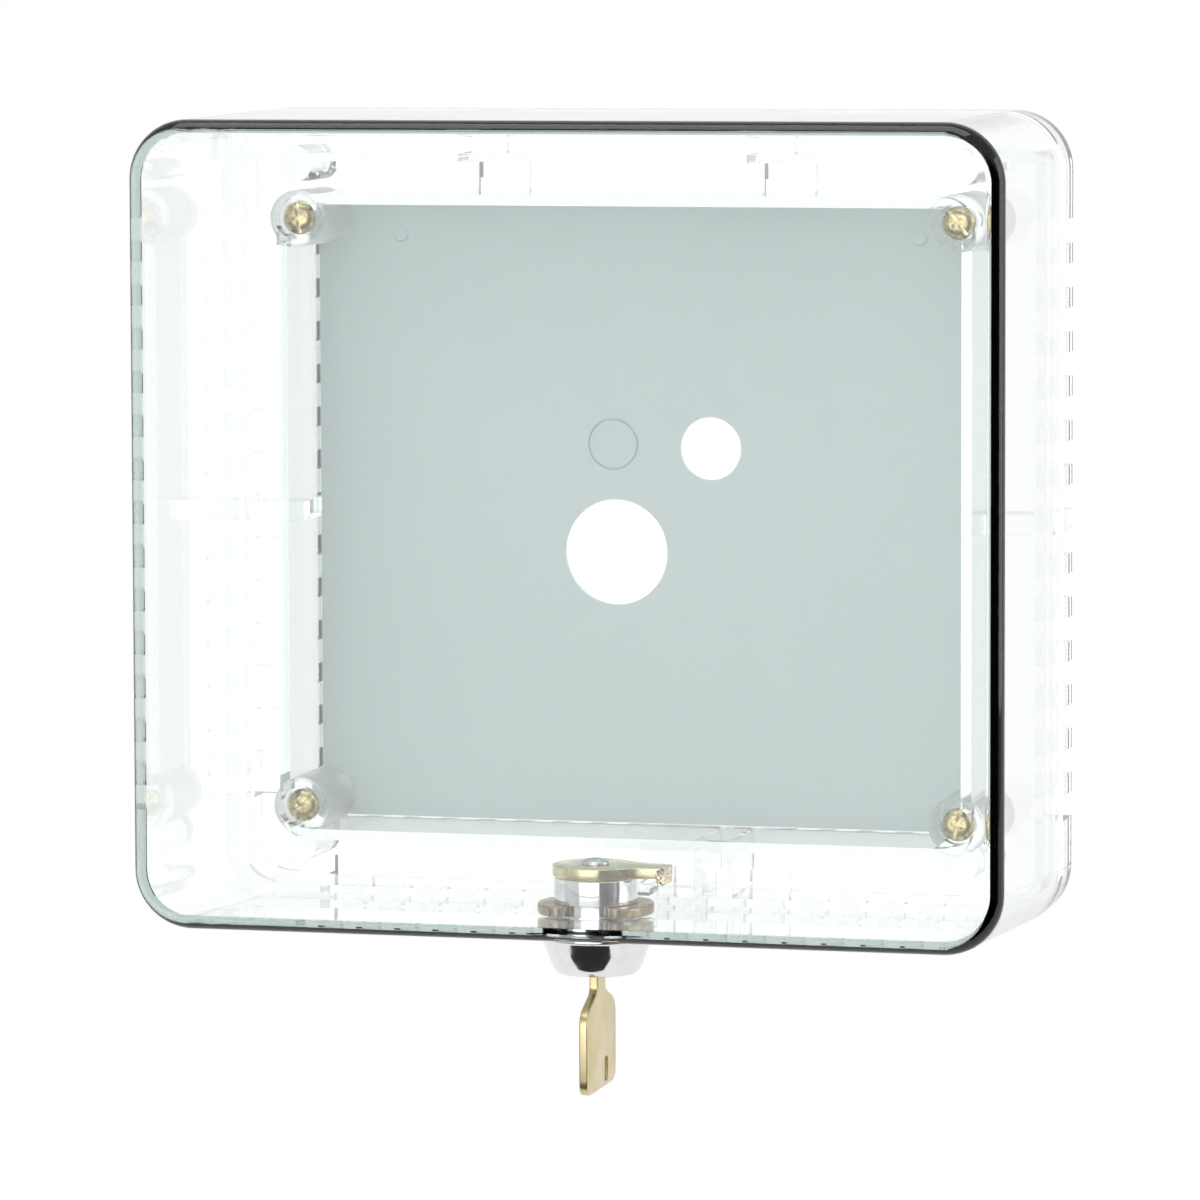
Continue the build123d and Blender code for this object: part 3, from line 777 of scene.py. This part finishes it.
def makeStage():  # one sheet: floor, bend and backdrop
    bend, steps, wide = studio["bend"], studio["bendSteps"], studio["halfWidth"]
    line = [(studio["floorFront"], studio["floorZ"])]
    for i in range(steps + 1):
        turn = math.radians(90 * i / steps)
        y = studio["backY"] - bend + bend * math.sin(turn)
        line.append((y, studio["floorZ"] + bend - bend * math.cos(turn)))
    line.append((studio["backY"], studio["backTop"]))
    bm = bmesh.new()
    left, right = ([bm.verts.new((x, y, z)) for y, z in line] for x in (-wide, wide))
    for i in range(len(line) - 1):
        bm.faces.new((left[i], right[i], right[i + 1], left[i + 1]))
    for face in bm.faces:
        face.smooth = True
    sheet = objectFrom("paleSheet", bm)
    sheet.data.materials.append(stageMaterial())


def makeLamps():
    for name, look in studio["lamps"].items():
        lamp = bpy.data.lights.new(name, "AREA")
        lamp.shape = "RECTANGLE"
        lamp.size, lamp.size_y = look["size"]
        lamp.energy = look["power"]
        holder = bpy.data.objects.new(name, lamp)
        holder.location = look["at"]
        toward = Vector(studio["aim"]) - Vector(look["at"])
        holder.rotation_euler = toward.to_track_quat("-Z", "Y").to_euler()
        bpy.context.scene.collection.objects.link(holder)


# soft room round the object
room = {
    "tint": (0.97, 0.985, 1.0, 1),
    "level": 0.62,
    "darkSide": (0.79, -0.61, -0.15),  # direction of the unlit side
    "darkFrom": 0.72,
    "darkTo": 0.92,
    "darkLevel": 0.04,
    "lowFrom": -0.5,
    "lowTo": -0.12,
    "lowLevel": 0.05,
}


def makeRoom():  # white to the camera, darker to one side and below
    world = bpy.data.worlds.new("softRoom")
    world.use_nodes = True
    tree = world.node_tree
    soft = tree.nodes["Background"]
    soft.inputs["Color"].default_value = room["tint"]
    white = tree.nodes.new("ShaderNodeBackground")
    place = tree.nodes.new("ShaderNodeTexCoord").outputs["Generated"]
    toward = tree.nodes.new("ShaderNodeVectorMath")
    toward.operation = "DOT_PRODUCT"
    toward.inputs[1].default_value = room["darkSide"]
    split = tree.nodes.new("ShaderNodeSeparateXYZ")
    tree.links.new(place, toward.inputs[0])
    tree.links.new(place, split.inputs["Vector"])
    side = rangeStep(tree, toward.outputs["Value"], room["darkFrom"], room["darkTo"], 1.0, room["darkLevel"],
                     "SMOOTHSTEP")
    height = rangeStep(tree, split.outputs["Z"], room["lowFrom"], room["lowTo"], room["lowLevel"], 1.0,
                       "SMOOTHSTEP")
    level = mathStep(tree, "MULTIPLY", mathStep(tree, "MULTIPLY", side, height), room["level"])
    tree.links.new(level, soft.inputs["Strength"])
    path = tree.nodes.new("ShaderNodeLightPath").outputs
    surface = mixShaders(tree, path["Is Camera Ray"], soft.outputs["Background"], white.outputs["Background"])
    tree.links.new(surface, tree.nodes["World Output"].inputs["Surface"])
    bpy.context.scene.world = world


# camera at the photograph's angle; right, up and ahead are its directions in the part's frame
photoCamera = {
    "at": (0.343834, -1.386456, 0.122959),
    "right": (0.96879, 0.24786, -0.0029),
    "up": (-0.01718, 0.07884, 0.99674),
    "ahead": (-0.24728, 0.96558, -0.08064),
    "lens": 196.62,
    "sensor": 36.0,
    "shiftY": -0.1,
    "clipStart": 0.1,
}


def makeCamera():
    lens = bpy.data.cameras.new("photoView")
    lens.sensor_width = photoCamera["sensor"]
    lens.lens = photoCamera["lens"]
    lens.shift_y = photoCamera["shiftY"]
    lens.clip_start = photoCamera["clipStart"]
    view = bpy.data.objects.new("photoView", lens)
    right, up, ahead = (Vector(photoCamera[name]) for name in ("right", "up", "ahead"))
    turn = Matrix((right, up, -ahead)).transposed()
    view.matrix_world = Matrix.Translation(photoCamera["at"]) @ turn.to_4x4()
    bpy.context.scene.collection.objects.link(view)
    bpy.context.scene.camera = view


makeStage()
makeRoom()
makeLamps()
makeCamera()
bpy.context.scene.view_settings.view_transform = "Standard"
print("studio set")
